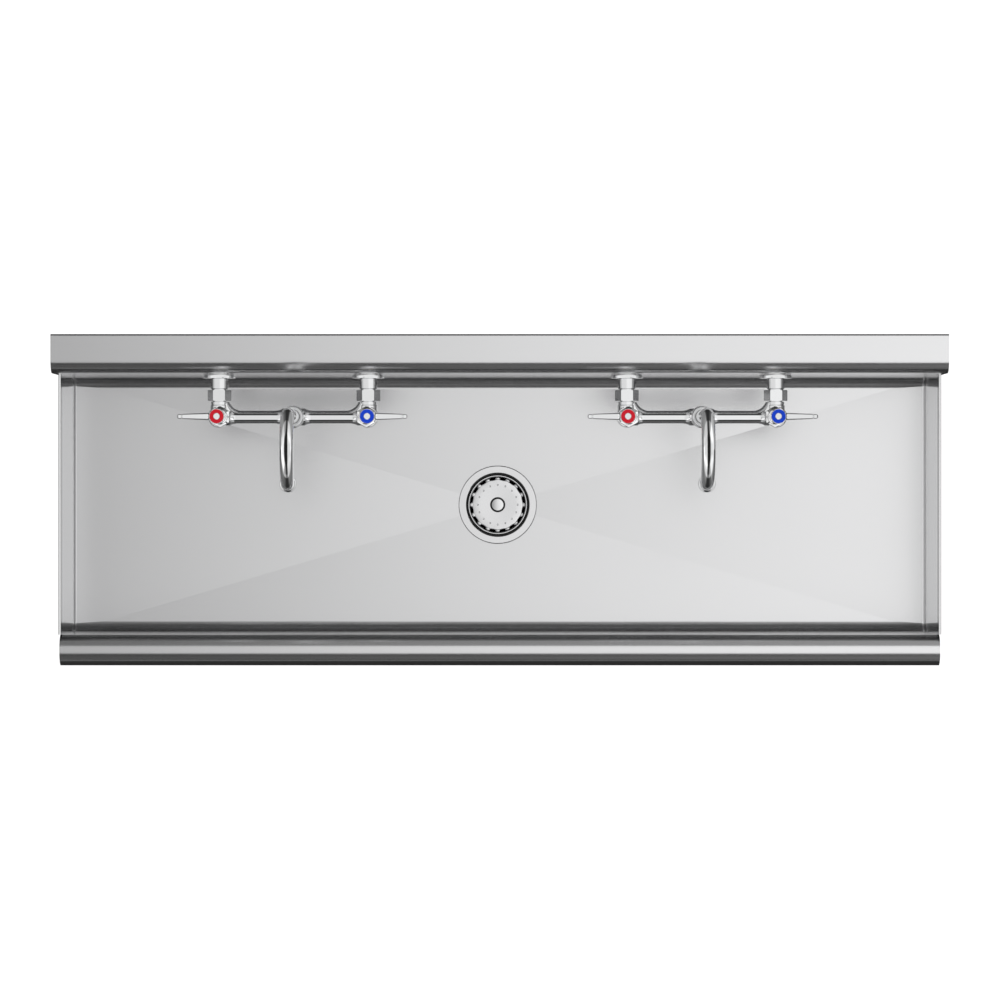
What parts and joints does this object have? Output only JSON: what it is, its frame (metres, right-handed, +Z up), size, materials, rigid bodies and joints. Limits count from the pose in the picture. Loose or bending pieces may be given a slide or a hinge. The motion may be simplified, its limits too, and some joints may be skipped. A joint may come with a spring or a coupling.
{
  "type": "trough sink",
  "caption": "Wall-hung stainless trough sink: creased floor to a basket drain, rolled front rim, backsplash with gooseneck faucets, lever valves and swivelling spouts.",
  "frame": {"origin": "on the wall plane, midway between the outer bolt holes of the wall bracket", "axes": "+X along the sink to the user's right, +Y into the wall, +Z up"},
  "size_m": [1.219, 0.4542, 0.6805],
  "materials": {
    "stainless_sheet": "fine brushed",
    "polished_stainless": "polished",
    "chrome_plate": "mirror",
    "galvanised_steel": "galvanised, dull",
    "raw_brass": "as cast and turned",
    "black_rubber": "matte",
    "red_fibre": "matte fibre",
    "white_nylon": "satin",
    "index_red": "gloss",
    "index_blue": "gloss"
  },
  "bodies": {
    "sink": {"trough_pan": "stainless_sheet", "end_panel_left": "stainless_sheet", "end_panel_right": "stainless_sheet", "splash_end_left": "stainless_sheet", "splash_end_right": "stainless_sheet", "rim_cap_left": "stainless_sheet", "rim_cap_right": "stainless_sheet", "wall_bracket": "galvanised_steel", "drain_body": "polished_stainless", "basket_seat": "black_rubber", "drain_gasket": "black_rubber", "fibre_washer": "red_fibre", "drain_locknut": "raw_brass", "tailpiece_washer": "white_nylon", "tailpiece": "polished_stainless", "tailpiece_nut": "raw_brass", "faucet_body_left": "chrome_plate", "wall_flanges_left": "chrome_plate", "supply_shanks_left": "chrome_plate", "shank_locknuts_left": "raw_brass", "coupling_nuts_left": "chrome_plate", "coupling_washers_left": "black_rubber", "bonnets_left": "chrome_plate", "spout_nut_left": "chrome_plate", "faucet_body_right": "chrome_plate", "wall_flanges_right": "chrome_plate", "supply_shanks_right": "chrome_plate", "shank_locknuts_right": "raw_brass", "coupling_nuts_right": "chrome_plate", "coupling_washers_right": "black_rubber", "bonnets_right": "chrome_plate", "spout_nut_right": "chrome_plate"},
    "strainer": {"strainer_basket": "polished_stainless", "strainer_knob": "polished_stainless", "knob_ring": "black_rubber", "strainer_stopper": "black_rubber"},
    "hot_valve_left": {"hot_stem_left": "raw_brass", "hot_handle_left": "chrome_plate", "hot_index_left": "index_red", "hot_screw_left": "chrome_plate"},
    "cold_valve_left": {"cold_stem_left": "raw_brass", "cold_handle_left": "chrome_plate", "cold_index_left": "index_blue", "cold_screw_left": "chrome_plate"},
    "spout_left": {"spout_left": "chrome_plate", "spout_seal_left": "black_rubber", "aerator_left": "chrome_plate"},
    "hot_valve_right": {"hot_stem_right": "raw_brass", "hot_handle_right": "chrome_plate", "hot_index_right": "index_red", "hot_screw_right": "chrome_plate"},
    "cold_valve_right": {"cold_stem_right": "raw_brass", "cold_handle_right": "chrome_plate", "cold_index_right": "index_blue", "cold_screw_right": "chrome_plate"},
    "spout_right": {"spout_right": "chrome_plate", "spout_seal_right": "black_rubber", "aerator_right": "chrome_plate"}
  },
  "joints": [
    {"name": "strainer_lift", "type": "slide", "parent": "sink", "child": "strainer", "axis": [0, 0, 1], "range_m": [0, 0.06]},
    {"name": "hot_turn_left", "type": "hinge", "parent": "sink", "child": "hot_valve_left", "pos_m": [-0.3826, -0.112, -0.021], "axis": [0, 0, 1], "range_deg": [0, 90]},
    {"name": "cold_turn_left", "type": "hinge", "parent": "sink", "child": "cold_valve_left", "pos_m": [-0.1794, -0.112, -0.021], "axis": [0, 0, 1], "range_deg": [-90, 0]},
    {"name": "spout_swivel_left", "type": "hinge", "parent": "sink", "child": "spout_left", "pos_m": [-0.281, -0.112, -0.021], "axis": [0, 0, 1], "continuous": true},
    {"name": "hot_turn_right", "type": "hinge", "parent": "sink", "child": "hot_valve_right", "pos_m": [0.1734, -0.112, -0.021], "axis": [0, 0, 1], "range_deg": [0, 90]},
    {"name": "cold_turn_right", "type": "hinge", "parent": "sink", "child": "cold_valve_right", "pos_m": [0.3766, -0.112, -0.021], "axis": [0, 0, 1], "range_deg": [-90, 0]},
    {"name": "spout_swivel_right", "type": "hinge", "parent": "sink", "child": "spout_right", "pos_m": [0.275, -0.112, -0.021], "axis": [0, 0, 1], "continuous": true}
  ]
}
